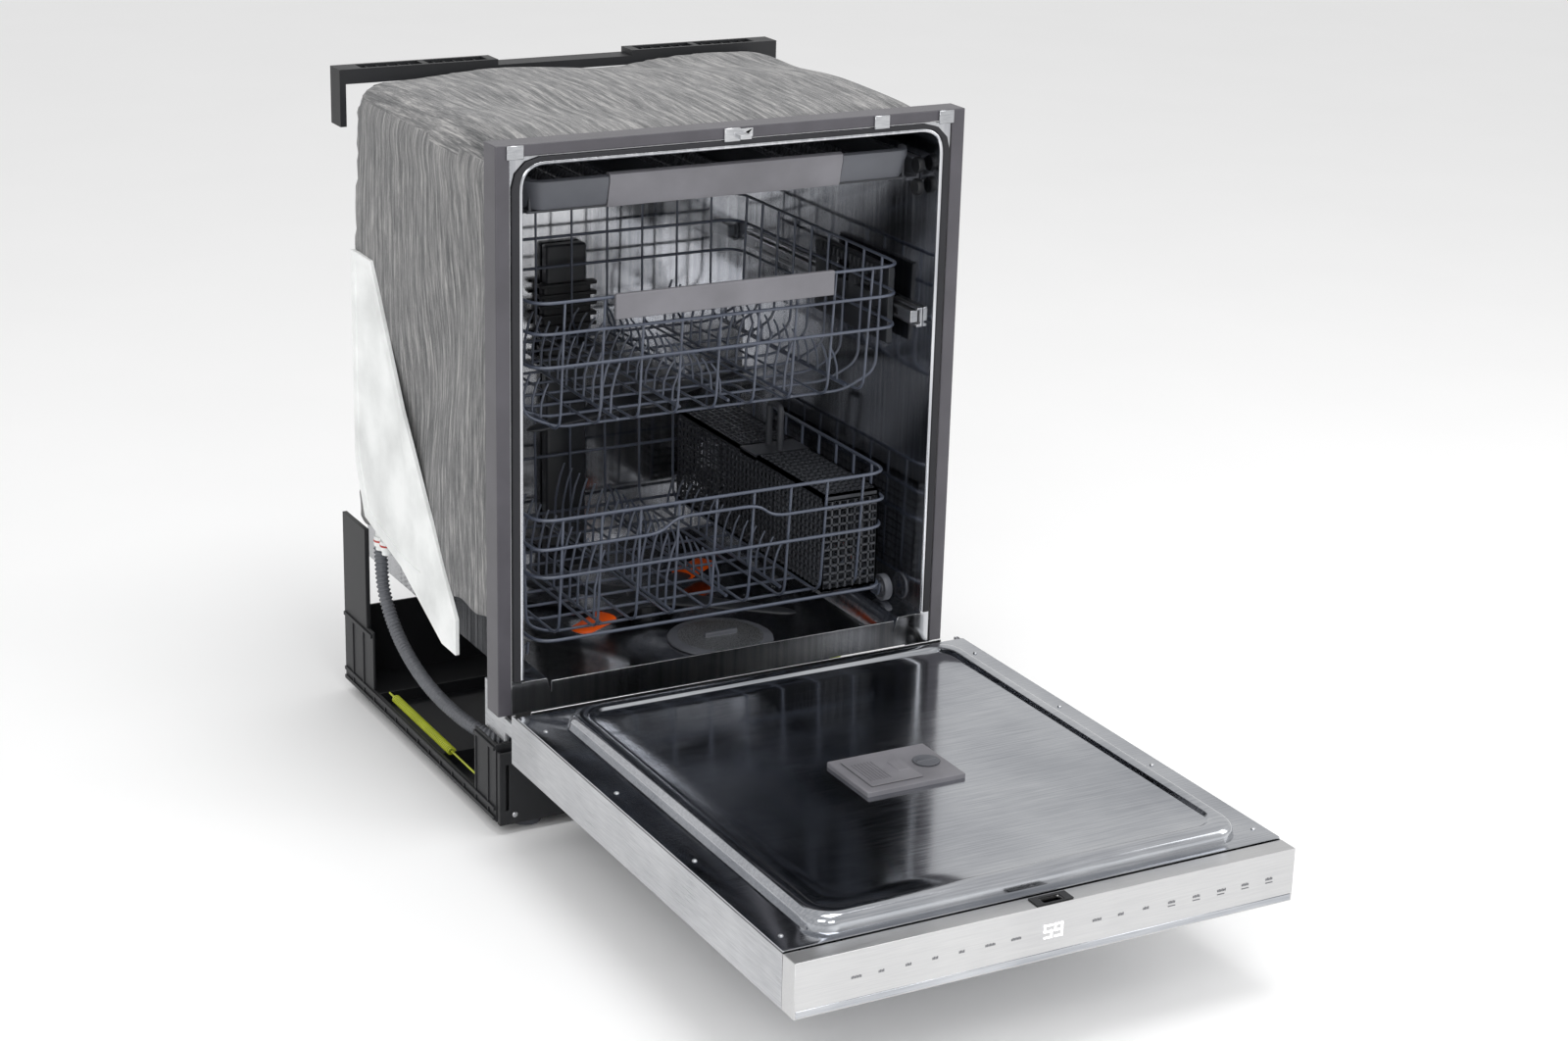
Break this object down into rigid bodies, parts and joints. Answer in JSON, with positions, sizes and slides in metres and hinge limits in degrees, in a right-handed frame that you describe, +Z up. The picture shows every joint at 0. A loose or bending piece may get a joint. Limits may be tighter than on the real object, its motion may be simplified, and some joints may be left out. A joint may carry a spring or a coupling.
{
  "type": "built-in dishwasher",
  "caption": "Under-counter dishwasher: hinged drop-down door, wire racks on rollers and rails, a cutlery tray, folding tines and turning spray arms.",
  "frame": {"origin": "centre of the bounding box on the floor plane, with the door open and the racks home", "axes": "+Z up, -Y towards the user in front of the door, +X to the right for that user"},
  "size_m": [0.6, 1.21, 0.818],
  "materials": {
    "stainless": "satin stainless sheet",
    "plated_steel": "brushed or zinc-plated steel",
    "black_plastic": "moulded, fine grain",
    "charcoal_plastic": "moulded, satin",
    "pale_grey_plastic": "moulded, satin",
    "mid_grey_plastic": "moulded, satin",
    "coated_wire": "nylon-coated steel wire",
    "frame_paint": "dark satin paint",
    "rubber": "matte",
    "felt": "mottled recycled-fibre felt",
    "milky_plastic": "translucent white",
    "spring_coat": "yellow-green coated spring wire"
  },
  "bodies": {
    "cabinet": {"base_tray": "black_plastic", "foot_left": "mid_grey_plastic", "foot_right": "mid_grey_plastic", "kick_plate": "black_plastic", "tub": "stainless", "tub_gasket": "rubber", "front_frame": "frame_paint", "felt_blanket": "felt", "rear_top_bar": "black_plastic", "air_break": "milky_plastic", "drain_hose": "mid_grey_plastic", "hinge_bracket_left": "plated_steel", "hinge_bracket_right": "plated_steel", "door_spring_left": "spring_coat", "door_spring_right": "spring_coat", "latch_striker": "plated_steel", "feed_duct": "charcoal_plastic", "sump": "black_plastic", "wash_pump": "black_plastic", "upper_rail_left": "plated_steel", "upper_rail_right": "plated_steel", "third_rail_left": "mid_grey_plastic", "third_rail_right": "mid_grey_plastic"},
    "filter": {"filter_cartridge": "mid_grey_plastic"},
    "lower_arm": {"lower_spray_arm": "charcoal_plastic"},
    "rail_slide_left": {"rail_slide_left": "plated_steel"},
    "rail_slide_right": {"rail_slide_right": "plated_steel"},
    "door": {"door_panel": "plated_steel", "door_liner": "stainless", "control_strip": "plated_steel", "door_latch": "black_plastic", "dispenser": "pale_grey_plastic", "hinge_arm_left": "black_plastic", "hinge_arm_right": "black_plastic"},
    "detergent_lid": {"detergent_lid": "pale_grey_plastic"},
    "rinse_cap": {"rinse_cap": "mid_grey_plastic"},
    "third_rack": {"third_tray": "charcoal_plastic", "third_trim": "pale_grey_plastic"},
    "upper_rack": {"upper_basket": "coated_wire", "upper_handle": "pale_grey_plastic", "adjuster_left": "mid_grey_plastic", "adjuster_right": "charcoal_plastic", "upper_spray_feed": "charcoal_plastic"},
    "upper_arm": {"upper_spray_arm": "charcoal_plastic"},
    "upper_tines_left": {"upper_tines_left": "coated_wire"},
    "upper_tines_right": {"upper_tines_right": "coated_wire"},
    "lower_rack": {"lower_basket": "coated_wire", "cutlery_basket": "charcoal_plastic"},
    "lower_tines_left": {"lower_tines_left": "coated_wire"},
    "lower_tines_middle": {"lower_tines_middle": "coated_wire"},
    "cutlery_lid_front": {"cutlery_lid_front": "charcoal_plastic"},
    "cutlery_lid_rear": {"cutlery_lid_rear": "charcoal_plastic"},
    "wheel_left_1": {"wheel_left_1": "mid_grey_plastic"},
    "wheel_left_2": {"wheel_left_2": "mid_grey_plastic"},
    "wheel_left_3": {"wheel_left_3": "mid_grey_plastic"},
    "wheel_left_4": {"wheel_left_4": "mid_grey_plastic"},
    "wheel_right_1": {"wheel_right_1": "mid_grey_plastic"},
    "wheel_right_2": {"wheel_right_2": "mid_grey_plastic"},
    "wheel_right_3": {"wheel_right_3": "mid_grey_plastic"},
    "wheel_right_4": {"wheel_right_4": "mid_grey_plastic"}
  },
  "joints": [
    {"name": "door_hinge", "type": "hinge", "parent": "cabinet", "child": "door", "pos_m": [0, 0.071, 0.14], "axis": [1, 0, 0], "range_deg": [-90, 0]},
    {"name": "rack_lower_slide", "type": "slide", "parent": "cabinet", "child": "lower_rack", "axis": [0, -1, 0], "range_m": [0, 0.5]},
    {"name": "rack_upper_slide", "type": "slide", "parent": "cabinet", "child": "upper_rack", "axis": [0, -1, 0], "range_m": [0, 0.4]},
    {"name": "rack_third_slide", "type": "slide", "parent": "cabinet", "child": "third_rack", "axis": [0, -1, 0], "range_m": [0, 0.29]},
    {"name": "spin_lower_arm", "type": "hinge", "parent": "cabinet", "child": "lower_arm", "pos_m": [0, 0.33, 0.176], "axis": [0, 0, 1], "continuous": true},
    {"name": "spin_upper_arm", "type": "hinge", "parent": "upper_rack", "child": "upper_arm", "pos_m": [0, 0.34, 0.432], "axis": [0, 0, 1], "continuous": true},
    {"name": "twist_filter", "type": "hinge", "parent": "cabinet", "child": "filter", "pos_m": [0.04, 0.2, 0.12], "axis": [0, 0, 1], "range_deg": [-90, 0]},
    {"name": "slide_detergent_lid", "type": "slide", "parent": "door", "child": "detergent_lid", "axis": [1, 0, 0], "range_m": [-0.055, 0]},
    {"name": "turn_rinse_cap", "type": "hinge", "parent": "door", "child": "rinse_cap", "pos_m": [0.038, -0.289, 0.19], "axis": [0, 0, 1], "range_deg": [-90, 0]},
    {"name": "tines_upper_left_fold", "type": "hinge", "parent": "upper_rack", "child": "upper_tines_left", "pos_m": [-0.12, 0.344, 0.4704], "axis": [0, 1, 0], "range_deg": [-80, 0]},
    {"name": "tines_upper_right_fold", "type": "hinge", "parent": "upper_rack", "child": "upper_tines_right", "pos_m": [0.11, 0.344, 0.4704], "axis": [0, 1, 0], "range_deg": [-80, 0]},
    {"name": "tines_lower_left_fold", "type": "hinge", "parent": "lower_rack", "child": "lower_tines_left", "pos_m": [-0.14, 0.344, 0.2204], "axis": [0, 1, 0], "range_deg": [-80, 0]},
    {"name": "tines_lower_middle_fold", "type": "hinge", "parent": "lower_rack", "child": "lower_tines_middle", "pos_m": [-0.045, 0.344, 0.2204], "axis": [0, 1, 0], "range_deg": [-80, 0]},
    {"name": "lid_front_hinge", "type": "hinge", "parent": "lower_rack", "child": "cutlery_lid_front", "pos_m": [0.2283, 0.238, 0.34175], "axis": [0, -1, 0], "range_deg": [-85, 0]},
    {"name": "lid_rear_hinge", "type": "hinge", "parent": "lower_rack", "child": "cutlery_lid_rear", "pos_m": [0.2283, 0.458, 0.34175], "axis": [0, -1, 0], "range_deg": [-85, 0]},
    {"name": "telescope_left", "type": "slide", "parent": "cabinet", "child": "rail_slide_left", "axis": [0, -1, 0], "range_m": [0, 0.2]},
    {"name": "telescope_right", "type": "slide", "parent": "cabinet", "child": "rail_slide_right", "axis": [0, -1, 0], "range_m": [0, 0.2]},
    {"name": "roll_wheel_left_1", "type": "hinge", "parent": "lower_rack", "child": "wheel_left_1", "pos_m": [-0.2485, 0.165, 0.2056], "axis": [1, 0, 0], "continuous": true},
    {"name": "roll_wheel_left_2", "type": "hinge", "parent": "lower_rack", "child": "wheel_left_2", "pos_m": [-0.2485, 0.269, 0.2056], "axis": [1, 0, 0], "continuous": true},
    {"name": "roll_wheel_left_3", "type": "hinge", "parent": "lower_rack", "child": "wheel_left_3", "pos_m": [-0.2485, 0.437, 0.2056], "axis": [1, 0, 0], "continuous": true},
    {"name": "roll_wheel_left_4", "type": "hinge", "parent": "lower_rack", "child": "wheel_left_4", "pos_m": [-0.2485, 0.535, 0.2056], "axis": [1, 0, 0], "continuous": true},
    {"name": "roll_wheel_right_1", "type": "hinge", "parent": "lower_rack", "child": "wheel_right_1", "pos_m": [0.2485, 0.165, 0.2056], "axis": [1, 0, 0], "continuous": true},
    {"name": "roll_wheel_right_2", "type": "hinge", "parent": "lower_rack", "child": "wheel_right_2", "pos_m": [0.2485, 0.269, 0.2056], "axis": [1, 0, 0], "continuous": true},
    {"name": "roll_wheel_right_3", "type": "hinge", "parent": "lower_rack", "child": "wheel_right_3", "pos_m": [0.2485, 0.437, 0.2056], "axis": [1, 0, 0], "continuous": true},
    {"name": "roll_wheel_right_4", "type": "hinge", "parent": "lower_rack", "child": "wheel_right_4", "pos_m": [0.2485, 0.535, 0.2056], "axis": [1, 0, 0], "continuous": true}
  ],
  "couplings": [
    {"joint": "telescope_left", "follows": "rack_upper_slide", "ratio": 0.5},
    {"joint": "telescope_right", "follows": "rack_upper_slide", "ratio": 0.5},
    {"joint": "roll_wheel_left_1", "follows": "rack_lower_slide", "rad_per_m": 58.824},
    {"joint": "roll_wheel_left_2", "follows": "rack_lower_slide", "rad_per_m": 58.824},
    {"joint": "roll_wheel_left_3", "follows": "rack_lower_slide", "rad_per_m": 58.824},
    {"joint": "roll_wheel_left_4", "follows": "rack_lower_slide", "rad_per_m": 58.824},
    {"joint": "roll_wheel_right_1", "follows": "rack_lower_slide", "rad_per_m": 58.824},
    {"joint": "roll_wheel_right_2", "follows": "rack_lower_slide", "rad_per_m": 58.824},
    {"joint": "roll_wheel_right_3", "follows": "rack_lower_slide", "rad_per_m": 58.824},
    {"joint": "roll_wheel_right_4", "follows": "rack_lower_slide", "rad_per_m": 58.824}
  ]
}
